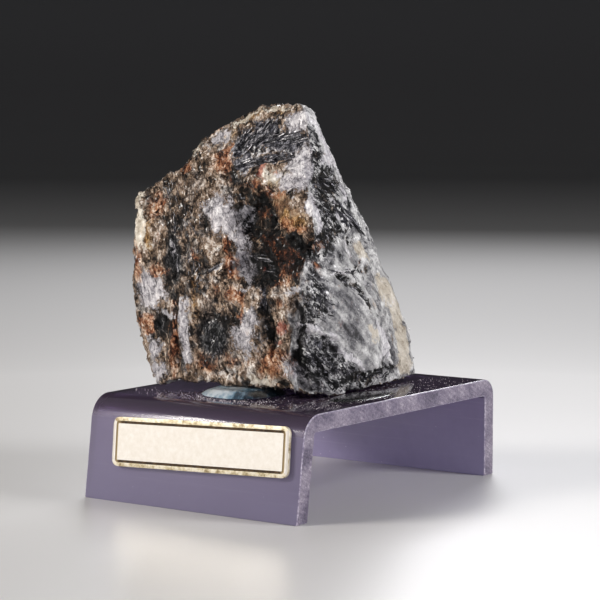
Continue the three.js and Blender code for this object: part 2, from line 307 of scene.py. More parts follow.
# Where each mineral and stain shows, and where shade is painted in (the shade patches: painted shade in
# hollows, cracks and grooves, with some dark staining), in millimetres on the face it is seen on: across (x
# on the front and the back, y on the side), up, half width, half height, turn in degrees, strength
stonePatches = {
    "front": {
        "pale": [
            (14, 67.5, 3, 1.6, 0, 0.2), (-10, 81.6, 4.5, 2, 32, 0.9), (-7, 77, 4, 2.6, 15, 0.7),
            (6, 73.5, 6, 3, 0, 0.9), (-7, 57.5, 4.5, 3, 0, 0.5), (5.5, 44.5, 3, 5.5, 0, 0.8),
            (13.5, 46, 3.5, 4, 0, 0.6), (-24, 43, 6, 5, 0, 0.6), (4, 33, 6, 4, 0, 0.6),
            (0, 27.8, 16, 1.8, 0, 0.8), (-22.5, 31, 4.5, 6, 0, 0.7), (-13, 72, 4, 2, 20, 0.35),
            (0.5, 48, 3, 1.6, -10, 0.7), (14, 32, 3, 4, 0, 0.4), (-5, 70.5, 3, 2, -30, 0.6),
            (17.5, 48, 3, 2, 0, 0.9), (-26, 58, 3, 8, 10, 0.5),
        ],
        # painted shade: these darken hollows, cracks and the edge line between front and side, and some dark
        # brown staining
        "shade": [
            (4, 65.5, 4.5, 4.5, -20, 0.9), (8.5, 61, 4, 3, -35, 0.8), (13, 56, 8.5, 4.5, 0, 0.6),
            (8, 53, 5, 4.5, 0, 0.9), (-20, 37.5, 3, 4.5, 0, 0.8), (19.5, 57, 2, 5, 0, 0.8),
            (9.5, 40, 2, 8, 5, 0.6), (-18, 55, 2, 8, 0, 0.4), (-5.5, 36, 4, 5, 0, 0.4),
            (-3.6, 73, 3, 1, -30, 0.6), (-20, 64, 6, 6, 0, 0.2), (-11.5, 52, 3, 4, 0, 0.35),
            (18.6, 38, 1.2, 14, 2, 0.9), (-9, 61.5, 1.4, 3, 15, 0.4), (8, 26, 12, 0.7, 3, 0.7),
        ],
        "slate": [
            (-17.5, 55, 2.6, 8, 3, 0.75), (-12.5, 53, 3, 5, 0, 0.35), (-5.5, 36.5, 4.5, 5, -8, 0.9),
            (-6.5, 43, 2.5, 4, 0, 0.4), (-13, 72, 3, 3, 0, 0.4), (-21, 38.5, 2.5, 3.5, 0, 0.7),
            (16, 56.5, 4, 3, 0, 0.5), (-9.5, 63, 2, 4, 15, 0.4), (-3, 73, 4, 1.2, -30, 0.6),
            (3.5, 37, 2, 5, 10, 0.35),
        ],
        "quartz": [
            (-4, 64.2, 5.5, 3.8, -25, 1), (0.8, 59.5, 3.8, 2.8, -35, 0.85), (2.6, 53.5, 1.8, 5.5, 24, 0.9),
            (15.5, 75.5, 4, 5.5, 10, 1), (12.5, 85.8, 3.8, 2.4, 15, 1), (18, 80, 1.6, 3, 0, 0.9),
            (-10, 82, 3.5, 1.6, 35, 0.9), (-24.5, 46.2, 4.6, 4, 0, 1), (-13.8, 37, 1.5, 9.5, 4, 0.9),
            (4, 37.5, 5, 4.6, 0, 0.75), (-23.5, 33, 2.6, 3.4, 10, 0.8), (-21.5, 27.5, 3.6, 3, 0, 0.8),
            (17, 30, 1.6, 3, 0, 0.8), (6.3, 41.5, 1.8, 3, 0, 0.8), (13, 72, 3, 2.4, 0, 0.8),
            # painted highlight: the patch at (20.8, 67.8) lightens the right edge of the rounded bulge
            (20.8, 67.8, 1.1, 2.8, 12, 0.9),
        ],
        "white": [
            # painted highlights: the edge at (21, 67.8) on the bulge's right and the streak at (6, 79.5)
            # across the stibnite
            (12.5, 86, 2.6, 1.5, 20, 0.8), (15.3, 76.5, 2.2, 3.6, 15, 0.75), (21, 67.8, 0.9, 2.6, 12, 0.9),
            (-5, 65, 3, 1.3, -35, 0.55), (-19.5, 41, 2.8, 0.8, 0, 0.8), (3, 48, 1.8, 0.8, -15, 0.7),
            (17.5, 48.2, 2, 1.2, -10, 0.8), (6, 79.5, 4.5, 0.4, 14, 0.8), (-18.2, 56.5, 0.5, 2.4, 8, 0.8),
            (-13.9, 40, 0.6, 5, 4, 0.5), (-4, 52.2, 1.6, 0.5, 35, 0.8), (-24.5, 44.5, 2.4, 1.6, 0, 0.4),
            (14.5, 30, 1.2, 2.6, 0, 0.7), (9, 74, 1.6, 1, 0, 0.6),
        ],
        "stibnite": [
            (1.5, 82.6, 6.5, 2.8, 10, 1), (10, 81.4, 6.5, 2.4, 2, 1), (-3.8, 80, 2, 3.2, 0, 0.8),
            (-0.8, 76.4, 3, 2.2, 10, 1), (6, 77.3, 6.5, 1.3, 9, 1), (8.6, 47, 1, 4, -4, 0.9),
        ],
        "black": [
            (4.7, 67.8, 1.6, 1.8, 20, 0.8), (2.2, 64.6, 2.2, 0.9, 50, 0.9), (2.8, 62.2, 1.1, 1.7, -25, 0.9),
            (8, 64.6, 4.8, 1.2, -42, 1), (10.4, 61.6, 2.4, 1.8, 0, 1), (8, 53.2, 4.8, 3.6, -3, 1),
            (19.8, 57.5, 1.4, 3, 0, 0.75), (9, 43.8, 0.8, 3, 12, 0.8), (11.2, 38, 1, 4.2, 4, 1),
            (12, 58.4, 2.4, 0.9, -10, 0.7), (16.8, 59.4, 1.8, 1.8, 0, 0.9), (7, 58.6, 1, 1.6, 20, 0.6),
            (14, 54.4, 1.2, 0.8, 10, 0.6), (18.4, 54, 1, 1.6, 0, 0.7), (5, 61, 1.2, 1, -30, 0.6),
            (13, 27, 2.4, 0.7, 0, 0.8), (-18.6, 54, 0.6, 4, 3, 0.7), (-9.4, 62.2, 0.4, 2.6, 12, 0.7),
            (-5, 52.4, 2.4, 0.5, 35, 0.7), (-21.6, 51, 1.8, 1, -5, 0.5), (14.3, 70.6, 1.3, 0.4, 30, 0.8),
            (-9.5, 30, 1.4, 0.8, 0, 0.5),
        ],
        "rust": [
            (-18.6, 75, 2, 1.6, 10, 0.9), (-8, 76.6, 3.4, 2.4, 10, 0.85), (-5.6, 79.2, 1.6, 1.4, 0, 0.9),
            (-13, 83.2, 3.6, 0.7, 38, 0.6), (-24.8, 65.8, 2.6, 2.6, 0, 0.8), (-28.8, 52.5, 1.8, 4.5, 8, 0.8),
            (10, 59, 4, 2.2, -30, 0.85), (13, 55, 6, 4, 0, 0.95), (5, 66, 2.5, 2.5, 0, 0.6),
            (-22.6, 51, 2.6, 1.4, -5, 1), (-25.8, 38.3, 2.2, 2, 0, 1), (-16.8, 34, 1.3, 7, 2, 0.8),
            (-17.5, 43, 1.6, 2, 0, 0.5), (-1, 52.8, 1.5, 3, 8, 1), (-2.6, 57.6, 0.9, 2, 20, 0.9),
            (0.3, 46.6, 2.2, 1.7, 0, 0.9), (1.9, 43, 0.8, 3, 4, 0.9), (-4, 47, 2.5, 1.5, 0, 0.4),
            (13, 50.2, 4, 1.2, -5, 0.7), (9, 69.6, 4, 0.8, -3, 0.8), (11.5, 31.5, 4.5, 3.4, 8, 0.75),
            (-8, 30, 3.6, 2.4, 0, 0.65), (1, 31, 4, 2, 0, 0.4), (17, 59, 3, 2.4, 0, 0.4),
            (15, 63.2, 3, 1.6, -20, 0.85), (10.5, 66.4, 2, 2.2, 20, 0.5), (17.5, 61.8, 2.4, 1.2, 10, 0.7),
            (2.4, 71.4, 2.4, 0.8, 5, 0.8), (-4.5, 72.7, 1.2, 0.7, -30, 0.8), (10.5, 56.8, 3, 2, 0, 0.5),
            (-11, 55.4, 1, 1, 0, 0.6), (13.5, 45, 2, 1.4, 0, 0.5),
        ],
        "red": [
            (4.5, 74.6, 1, 2, 8, 1), (7, 71, 1.4, 0.45, 0, 0.6), (14.3, 39.9, 1.4, 1.1, 0, 0.7),
            (13.2, 36.6, 0.8, 0.7, 0, 0.6), (8.4, 74.6, 0.6, 0.7, 0, 0.5),
        ],
        "honey": [(12, 67.6, 4, 2.4, -8, 1), (15.5, 65.4, 3.6, 2.4, -20, 0.9), (6.5, 65.2, 2, 1.8, 0, 0.6)],
        "ochre": [
            (-4, 85.8, 6.5, 1.6, 27, 0.5), (6, 88, 5, 1, 2, 0.4), (18, 63.4, 2.2, 2, 0, 0.9),
            (14.5, 64.6, 2.6, 1.8, -10, 0.8), (-25.8, 59.5, 1.8, 4.5, 12, 0.6), (7, 59.3, 2.4, 1.6, -20, 0.5),
            (-10.5, 44, 1.8, 7, 4, 0.45), (7.5, 72.3, 2.6, 1.2, 0, 0.4), (-9, 29, 3, 1.4, 0, 0.5),
            (10, 29.5, 3.5, 1.4, 0, 0.45),
        ],
        "cream": [
            (-4, 86.6, 7, 1.2, 27, 0.75), (5, 88.8, 5, 0.8, 2, 0.7), (7, 73.6, 4.6, 2, 0, 0.66),
            (1.4, 71.6, 1.6, 1, 0, 0.5), (-30.6, 66, 1.8, 3, 0, 1), (-29.2, 60, 2.2, 6, 6, 1),
            (9, 27.4, 7, 1, 0, 0.8), (-16.5, 79, 2, 1.4, 30, 0.6),
        ],
    },
    "side": {
        "dark": [
            (-10.6, 83, 1.1, 3.2, 10, 0.8), (-9, 73.4, 4.4, 2, 5, 1), (-10, 66, 5.5, 6, 30, 1),
            (-4, 62, 3, 2, -30, 0.6), (1, 70, 3, 1, -20, 0.6), (-12, 79, 2, 4, 0, 0.7),
            (-14.5, 58, 4.5, 3.6, 0, 0.9), (-16.6, 47, 3.2, 8, 0, 0.5), (-15, 37, 4.6, 2, -30, 0.4),
            (-12, 30.5, 8, 3.6, -15, 0.75), (2, 26.6, 12, 1.7, 4, 1), (2.4, 67.4, 2, 1.6, -30, 0.5),
        ],
        "black": [
            (-10.2, 78.8, 2.2, 0.9, 5, 1), (-12, 73.4, 2, 1.9, 0, 1), (-7.2, 72.9, 3.6, 1.7, 5, 1),
            (-6, 70.6, 5, 1.3, 3, 1), (-11, 68.4, 1.8, 1.8, 20, 0.9), (-8, 63.4, 2.4, 0.9, -30, 0.9),
            (0.4, 72, 3.2, 0.22, 8, 1), (-3, 75.6, 0.8, 0.9, 0, 0.6), (-9, 69, 3, 0.5, -10, 0.8),
            (-7.4, 66.6, 2.8, 0.9, -20, 0.8), (-12.4, 65, 0.8, 2.6, 20, 0.7), (1, 58.4, 2, 1.3, -20, 1),
            (-7, 61, 2.6, 0.8, -10, 0.9), (-12, 60.2, 4.4, 1.1, -6, 1), (-10, 57.4, 2, 1.4, 0, 0.8),
            (-17, 57, 1.2, 2.6, 0, 0.8), (-7.6, 50.7, 1.6, 1, -10, 1), (-5, 49.4, 2.8, 0.9, -22, 1),
            (-1, 47, 2.6, 0.8, -38, 1), (1.5, 44.4, 1.2, 1.2, -20, 1), (2.2, 52.1, 1.5, 1, 20, 1),
            (3.6, 51, 1, 0.7, 0, 0.9), (6.6, 51.2, 1.6, 0.9, -10, 1), (-18.6, 38, 0.8, 9, 0, 0.8),
            (-14.5, 43.4, 2.4, 1.2, -40, 0.6), (-4, 27.4, 5, 1, -8, 0.8), (6.4, 27.2, 5, 0.9, 12, 1),
            (15, 28, 2.4, 0.8, -12, 0.8), (4, 53.7, 0.9, 0.3, -10, 0.8),
        ],
        "stibnite": [
            (0.5, 64.6, 5, 0.6, -36, 1), (2.6, 62.2, 4.5, 0.55, -36, 1), (-1.2, 62.2, 3, 0.5, -36, 1),
            (-13.6, 70.6, 1.2, 2.4, 0, 0.6), (-15.4, 36, 3, 1.6, -30, 0.5),
        ],
        "white": [
            (-5.4, 81, 2.4, 6, 38, 0.9), (-6, 77, 5, 1.6, -8, 0.9), (2, 74.4, 3.4, 1.4, -36, 0.9),
            (1, 69.5, 4, 2, -34, 0.7), (-8, 68.4, 3, 0.5, -24, 0.8), (-4.4, 64.6, 2.4, 0.6, -34, 0.8),
            (-7, 51.8, 3.4, 0.4, 2, 1), (-1, 66, 3.6, 0.4, -36, 0.9), (1.6, 61.9, 3.6, 0.25, -36, 0.9),
            (-17.4, 40, 3, 0.7, -22, 1), (-11.6, 37.6, 3, 0.7, -16, 1), (-6, 32.6, 6.6, 0.75, -30, 1),
            (9, 36.4, 5, 1.6, -36, 0.9), (12.4, 32.6, 3.4, 2.6, -40, 1), (7, 30.2, 4, 1, 12, 0.7),
            (-16.6, 65, 1.2, 5, -6, 1), (-4, 44, 4, 0.4, -36, 0.5), (5, 48, 3, 2, -30, 0.5),
            (-2, 57, 3, 0.6, -30, 0.5),
        ],
        "cream": [
            (15, 45.5, 6.5, 3.6, -22, 0.9), (20, 40, 4, 3.4, -30, 1), (21.6, 33, 2.8, 7, 8, 1),
            (22, 27, 4, 2, 0, 1), (6, 55.6, 3.6, 1.8, -30, 0.9), (3.4, 37, 4.5, 1.8, -36, 0.8),
        ],
        # painted shade: these darken the groove beside the ivory ridge and the hollows of the dome
        "shade": [
            (-10, 43, 4, 5, -30, 0.4), (-6.5, 38.4, 4.4, 2.4, -32, 1), (10, 43, 1.2, 5, -20, 0.6),
            (-8, 45, 5, 3, -30, 0.6), (16, 34, 1, 4, 10, 0.5), (-14, 34, 6, 6, 0, 0.5),
            (-2, 28, 10, 2, 4, 0.5), (-6, 56, 3, 1.4, -10, 0.4),
        ],
        "calm": [
            (-1, 39, 13, 8.5, -32, 1), (-3, 54.6, 7, 3, -8, 0.9), (6, 47, 5, 4, -30, 0.7),
            (19, 40, 6, 12, 10, 0.9), (-5, 78, 4, 6, 30, 0.6), (2, 70, 5, 5, -30, 0.5),
        ],
        "rust": [
            (-14, 57.6, 3.6, 1.3, 0, 0.55), (-14.6, 53.6, 2.4, 0.9, -6, 0.5), (3.9, 53.9, 0.8, 0.5, -10, 0.8),
        ],
        "ochre": [(16, 35, 1, 4, 10, 0.35), (6, 43, 1.6, 3, -20, 0.3)],
    },
    "back": {
        "quartz": [(-4, 40, 9, 6, 20, 0.9), (2, 68, 5, 9, -15, 0.8), (-20, 58, 5, 8, 10, 0.8)],
        "white": [(-3, 41, 6, 1.6, 24, 0.7), (2, 66, 2, 7, -15, 0.6)],
        "stibnite": [(-9, 52, 9, 2.2, 22, 0.9), (-16, 36, 6, 1.8, 15, 0.8), (3, 79, 4, 2, -10, 0.8)],
        "slate": [(-8, 30, 14, 4, 0, 0.8), (8, 50, 4, 9, 10, 0.7)],
        "rust": [(-22, 44, 5, 6, 0, 0.8), (6, 33, 4, 5, 0, 0.7), (-10, 72, 6, 4, -20, 0.7)],
        "ochre": [(-2, 58, 6, 5, 0, 0.6), (-26, 34, 4, 5, 0, 0.6)],
        "pale": [(0, 50, 30, 30, 0, 0.5)],
    },
}

# Swellings and hollows on each face: across, up, half width, half height, turn, height
stoneRelief = {
    "front": [
        (15, 66, 5.5, 5, 0, 1.2), (6, 64.5, 5, 4, -20, -1.8), (8, 53.4, 4.4, 2.8, -3, -1.6),
        (17.3, 47.8, 2.6, 1.6, -10, 0.8), (-4, 64.5, 6, 3.2, -25, 0.5), (-21, 38, 2.4, 3.6, 0, -0.9),
        (12, 85.5, 4, 2.4, 20, 0.5), (13.4, 88.8, 2.4, 1.6, 0, 0.6), (15, 75, 4, 5, 10, 0.6),
        (-14, 37, 1.4, 8, 6, 0.4), (4.5, 82, 8, 3, 4, -0.5),
    ],
    "side": [
        (-8.5, 88.5, 2.4, 1.6, 0, 0.6), (0, 38, 12, 8.5, -32, 1.8), (18, 46, 4, 2.4, -50, 0.9),
        (9, 58, 3, 2, -60, -0.8), (-9, 72.5, 4, 2, 5, -1.2), (-14, 57, 5, 4, 0, -1.3),
        (1.5, 58, 3, 2, -10, -0.8), (-6, 77, 4, 3, -15, 0.5), (19, 41, 6, 4, -40, 0.8),
    ],
}

# Cracks (negative) and ribs (positive) along lines: points, width, height
stoneLines = {
    "front": [
        ([(8.4, 51), (8.8, 44), (11.3, 40), (11.6, 34)], 1.2, -1.3),
        ([(17.2, 47), (17.4, 36), (18.4, 24)], 1.3, -1.5),
        ([(-18, 62), (-17, 50)], 0.8, -0.6),
        ([(-15.8, 46), (-16.2, 29)], 0.7, -0.6),
        ([(-3, 75), (5, 77), (11, 78.3)], 0.6, -0.5),
        ([(6, 70.3), (12, 70), (15, 71)], 0.5, -0.7),
    ],
    "side": [
        ([(-20, 41), (-14, 38.4), (-9, 37)], 0.8, 0.9),
        ([(-12, 36), (-6, 32.4), (0, 29.4)], 0.8, 1.0),
        ([(-9, 51.4), (-3, 49), (1.5, 44.6)], 0.9, -0.9),
        ([(5, 47), (9, 41.5), (14.5, 34), (16.5, 30)], 1.3, -1.1),
        ([(-4, 67), (5, 60.5)], 0.35, 0.5), ([(-2, 63.8), (3.5, 60)], 0.35, 0.5),
        ([(-9, 52), (0, 51.6)], 0.5, 0.6),
    ],
}

stoneLook = {
    "seed": 4, "voxel": 0.41 * mm, "softening": 4, "wander": 1.2, "sunk": 0.2,
    "lump": 0.5, "ledge": 0.5, "chip": 0.42, "crumb": 0.2, "fibre": 0.35, "cavity": 1.1,
    "grains": 1400, "grainSize": (0.2, 0.46), "grainSeed": 11,
    "splinters": 5200, "splinterSize": (0.09, 0.22), "splinterSeed": 31, "bladeSeed": 5,
}
patchKinds = ["pale", "slate", "shade", "dark", "quartz", "white", "stibnite", "black", "rust", "red",
            "ochre", "cream", "honey", "calm"]


def patchField(across, up, patch):
    # 1 in the middle of the patch, a half on its outline, 0 well outside
    x, z, halfWidth, halfHeight, turn, strength = patch
    angle = math.radians(turn)
    u = (across - x) * math.cos(angle) + (up - z) * math.sin(angle)
    v = (up - z) * math.cos(angle) - (across - x) * math.sin(angle)
    reach = np.sqrt((u / halfWidth) ** 2 + (v / halfHeight) ** 2)
    return strength * np.clip(1.2 - 0.7 * reach, 0, 1)


def lineDistance(across, up, points):
    best = np.full(len(across), 1e9)
    for (ax, az), (bx, bz) in zip(points, points[1:]):
        length = (bx - ax) ** 2 + (bz - az) ** 2
        t = np.clip(((across - ax) * (bx - ax) + (up - az) * (bz - az)) / length, 0, 1)
        best = np.minimum(best, np.hypot(across - ax - t * (bx - ax), up - az - t * (bz - az)))
    return best


def faceViews(points, normals):
    # for each face: the coordinate across it, and how squarely each point belongs to it
    return {
        "front": (points[:, 0], smoothStep(0.1, 0.45, -normals[:, 1])),
        "side": (points[:, 1], smoothStep(0.15, 0.5, normals[:, 0])),
        "back": (points[:, 0], smoothStep(0.1, 0.5, normals[:, 1])),
    }


def rockNoise(points, scale, stretch=(1, 1, 1), octaves=3):
    scaled = points / (np.array(stretch) * scale)
    return np.array([noise.fractal(Vector(p), 0.8, 2.1, octaves) for p in scaled])


def chipNoise(points, scale, stretch=(1, 1, 1)):
    # flat-faced chips, each leaning its own way
    scaled = points / (np.array(stretch) * scale)
    heights = np.empty(len(points))
    for i, p in enumerate(scaled):
        near = noise.voronoi(Vector(p))[1][0]
        lean = noise.noise_vector(near * 7.3)
        heights[i] = lean.dot(Vector(p) - near) * 2 + lean.x
    return heights


def stoneFields(points, views):
    # every patch's outline wanders a little, so that none stays a plain oval
    fields = {name: np.zeros(len(points)) for name in patchKinds}
    wanderAcross = stoneLook["wander"] * rockNoise(points, 3.6, octaves=4)
    wanderUp = stoneLook["wander"] * rockNoise(points[:, ::-1], 3.1, octaves=4)
    for face, patches in stonePatches.items():
        across, belongs = views[face]
        for name, rows in patches.items():
            for patch in rows:
                value = belongs * patchField(across + wanderAcross, points[:, 2] + wanderUp, patch)
                fields[name] = np.maximum(fields[name], value)
    fields["side"] = views["side"][1]
    fields["tone"] = np.full(len(points), 0.5)
    return fields


def storeFields(piece, fields):
    for name, values in fields.items():
        layer = piece.data.attributes.new(name, "FLOAT", "POINT")
        layer.data.foreach_set("value", np.asarray(values, np.float32))


def stoneHeight(points, fields, views):
    # how far each point is raised, in millimetres: glassy and smooth stretches are left calm
    front = views["front"][1]
    smooth = fields["side"] * (1 - fields["dark"]) * 0.8
    polished = np.max([fields["quartz"], smooth, 1.15 * fields["calm"], 0.8 * fields["honey"]], axis=0)
    calm = 1 - 0.85 * np.clip(polished + 0.6 * fields["cream"], 0, 1)
    height = stoneLook["lump"] * rockNoise(points, 6) * (0.5 + 0.5 * calm)
    height += stoneLook["ledge"] * chipNoise(points, 4.6) * (0.3 + 0.7 * calm)
    height += stoneLook["chip"] * chipNoise(points, 2.1) * calm
    height += stoneLook["crumb"] * chipNoise(points, 1.1, (1, 1, 1.5)) * calm
    height += stoneLook["fibre"] * rockNoise(points, 1.2, (1, 1, 5), 2) * front * calm
    hollow = np.clip(fields["black"] * 1.3 - 0.3, 0, 1) ** 1.3
    height -= stoneLook["cavity"] * hollow * (0.6 + 0.4 * front)
    for face in ("front", "side"):
        across, belongs = views[face]
        for *oval, rise in stoneRelief[face]:
            height += rise * belongs * patchField(across, points[:, 2], (*oval, 1))
        for line, width, rise in stoneLines[face]:
            fall = 1 - smoothStep(0.2 * width, width, lineDistance(across, points[:, 2], line))
            height += rise * belongs * fall
    return height - stoneLook["sunk"]


def makeStone():
    noise.seed_set(stoneLook["seed"])  # without it the chips lean another way in each run
    stone = copyNode("stibnite_specimen", "stone")
    applyModifier(stone, "REMESH", mode="VOXEL", voxel_size=stoneLook["voxel"])
    applyModifier(stone, "SMOOTH", factor=0.8, iterations=stoneLook["softening"])
    points = readPoints(stone.data) / mm
    normals = readPoints(stone.data, "vertices", "normal")
    views = faceViews(points, normals)
    fields = stoneFields(points, views)
    height = stoneHeight(points, fields, views)
    # the height is kept too, to paint low places darker and raised ones lighter: painted shade and light
    fields["relief"] = np.clip(0.5 + 0.5 * height, 0, 1)
    storeFields(stone, fields)
    low, high = (np.array(c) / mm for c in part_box("stibnite_specimen"))
    writePoints(stone.data, np.clip(points + normals * height[:, None], low, high) * mm)
    activate(stone)
    bpy.ops.object.shade_smooth()
    rock = stoneMaterial()
    stone.data.materials.append(rock)
    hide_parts("stibnite_specimen")
    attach(stone, "root")
    print("stone", len(stone.data.vertices), "points")
    makeGrains(stone, fields, rock)
    makeSplinters(stone, fields, rock)
    return stone


def scatter(name, shapes, spots, material):
    # joins one copy of a shape for each spot: which shape, 3x3 matrix, centre, field values
    points, corners, sizes, values = [], [], [], {}
    count = 0
    for shape, matrix, centre, fields in spots:
        shapePoints, shapeFaces = shapes[shape]
        points.append(shapePoints @ np.array(matrix).T + centre)
        for face in shapeFaces:
            corners.extend(count + i for i in face)
            sizes.append(len(face))
        for field, value in fields.items():
            values.setdefault(field, []).append(np.broadcast_to(value, len(shapePoints)))
        count += len(shapePoints)
    mesh = bpy.data.meshes.new(name)
    mesh.vertices.add(count)
    mesh.vertices.foreach_set("co", np.concatenate(points).astype(np.float32).ravel())
    mesh.loops.add(len(corners))
    mesh.loops.foreach_set("vertex_index", np.array(corners, np.int32))
    mesh.polygons.add(len(sizes))
    mesh.polygons.foreach_set("loop_start", np.cumsum([0] + sizes[:-1]).astype(np.int32))
    mesh.update(calc_edges=True)
    mesh.validate()
    piece = bpy.data.objects.new(name, mesh)
    bpy.context.scene.collection.objects.link(piece)
    storeFields(piece, {field: np.concatenate(parts) for field, parts in values.items()})
    mesh.materials.append(material)
    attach(piece, "root")
    print(name, len(sizes), "faces")


def takeShape(piece):
    # keeps a modelled shape as points and faces, and removes its object
    shape = (readPoints(piece.data), [list(face.vertices) for face in piece.data.polygons])
    bpy.data.objects.remove(piece)
    return shape


def stoneSurface(stone):
    # its points, their normals, the order to draw them in, and its box; the remesher numbers the
    # points differently each time, so the order is that of their places
    points = readPoints(stone.data)
    order = np.lexsort(np.round(points / mm, 2).T)
    low, high = (np.array(c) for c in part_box("stibnite_specimen"))
    return points, readPoints(stone.data, "vertices", "normal"), order, low, high


def localFields(fields, i, tone, relief):
    # a grain or a sliver has the colours of the point that it sits on, and a given height shade that paints
    # it light as a raised place
    local = {name: fields[name][i] for name in patchKinds + ["side"]}
    local.update(tone=tone, relief=relief)
    return local


def grainShapes():
    # six balls, each knocked out of round in its own way
    shapes = []
    for seed in range(6):
        deselect()
        bpy.ops.mesh.primitive_ico_sphere_add(subdivisions=1, radius=1)
        bpy.ops.object.mode_set(mode="EDIT")
        bpy.ops.transform.vertex_random(offset=0.32, uniform=1, normal=0, seed=seed)
        bpy.ops.object.mode_set(mode="OBJECT")
        shapes.append(takeShape(bpy.context.object))
    return shapes


def makeGrains(stone, fields, rock):
    # loose-looking crystal grains, half sunk in the broken faces
    draw = random.Random(stoneLook["grainSeed"])
    points, normals, order, low, high = stoneSurface(stone)
    spots = []
    while len(spots) < stoneLook["grains"]:
        i = order[draw.randrange(len(order))]
        smooth = max(fields["quartz"][i], 0.8 * fields["cream"][i], 0.8 * fields["side"][i],
                     0.9 * fields["stibnite"][i], fields["calm"][i])
        if draw.random() < smooth:
            continue
        size = draw.uniform(*stoneLook["grainSize"]) ** 1.4 * mm
        centre = points[i] + normals[i] * size * draw.uniform(-0.85, -0.3)
        if np.any(centre - 1.3 * size < low) or np.any(centre + 1.3 * size > high):
            continue
        angle = draw.uniform(0, 6.28)
        axis = Vector(draw.gauss(0, 1) for _ in range(3)).normalized()
        size = (size, size * draw.uniform(0.6, 1), size * draw.uniform(0.7, 1.5))
        shape = Matrix.Rotation(angle, 3, axis) @ Matrix.Diagonal(size)
        tone = draw.random()
        spots.append((draw.randrange(6), shape, centre, localFields(fields, i, tone, 0.75)))
    scatter("stoneGrains", grainShapes(), spots, rock)


# Which way the crystal splinters lie on the front: across, up, direction in degrees
splinterFlow = [
    (-25, 60, 100), (-16, 70, 112), (-17, 50, 85), (-10, 40, 80), (-22, 32, 95), (-4, 64, 140),
    (-4, 48, 60), (0, 34, 75), (10, 46, 100), (13, 30, 120), (14, 66, 70), (6, 73, 30),
    (15, 76, 105), (5, 82, 35), (14, 56, 20), (-12, 80, 35),
]


def prismShapes(sides, depth, drawnOut, tapers):
    # prisms whose ends are drawn in; the two tapers of a prism differ, as if one end had broken
    shapes = []
    for first, second in tapers:
        deselect()
        bpy.ops.mesh.primitive_cylinder_add(vertices=sides, radius=1, depth=depth, end_fill_type="NGON")
        prism = bpy.context.object
        bpy.ops.object.mode_set(mode="EDIT")
        for end, taper in ((1, first), (-1, second)):
            pick(prism, "FACE", lambda face: face.normal.z * end > 0.9)
            bpy.ops.mesh.extrude_region_move(TRANSFORM_OT_translate={"value": (0, 0, drawnOut * end)})
            bpy.ops.transform.resize(value=(taper, taper, 1))
        bpy.ops.object.mode_set(mode="OBJECT")
        shapes.append(takeShape(prism))
    return shapes


def flowAngle(x, z):
    # the direction of the splinters near a place on the front, in degrees
    weights = [1 / ((x - row[0]) ** 2 + (z - row[1]) ** 2 + 4) ** 2 for row in splinterFlow]
    return sum(w * row[2] for w, row in zip(weights, splinterFlow)) / sum(weights)


def layOn(normal, along, tilt):
    # the three directions of a crystal that lies on a surface: beside it, away from it, along it
    along = (along - normal * normal.dot(along) + normal * tilt).normalized()
    beside = normal.cross(along).normalized()
    return beside, along.cross(beside), along


def makeSplinters(stone, fields, rock):
    # broken crystal slivers that lie half sunk along the grain of the stone
    draw = random.Random(stoneLook["splinterSeed"])
    points, normals, order, low, high = stoneSurface(stone)
    spots = []
    while len(spots) < stoneLook["splinters"]:
        i = order[draw.randrange(len(order))]
        smooth = max(1.2 * fields["quartz"][i], 0.9 * fields["cream"][i], fields["calm"][i],
                     0.5 * fields["side"][i])
        if draw.random() < smooth:
            continue
        if fields["side"][i] > 0.5:
            angle = math.radians(-36 + draw.gauss(0, 30))
            along = Vector((0, math.cos(angle), math.sin(angle)))
        else:
            angle = math.radians(flowAngle(points[i][0] / mm, points[i][2] / mm) + draw.gauss(0, 24))
            along = Vector((math.cos(angle), 0, math.sin(angle)))
        beside, normal, along = layOn(Vector(normals[i]), along, draw.gauss(0, 0.14))
        length = draw.uniform(0.5, 1.0) ** 2 * 2.3 * mm
        width = draw.uniform(*stoneLook["splinterSize"]) * mm
        thickness = width * draw.uniform(0.5, 0.9)
        centre = points[i] + np.array(normal) * thickness * draw.uniform(-0.7, 0.25)
        if np.any(centre - 0.6 * length < low) or np.any(centre + 0.6 * length > high):
            continue
        tone = draw.random()
        columns = Matrix((beside * width, normal * thickness, along * length)).transposed()
        spots.append((draw.randrange(2), columns, centre, localFields(fields, i, tone, 0.7)))
    slivers = prismShapes(4, 0.5, 0.25, ((0.2, 0.6), (0.45, 0.3)))
    scatter("stoneSplinters", slivers, spots, rock)


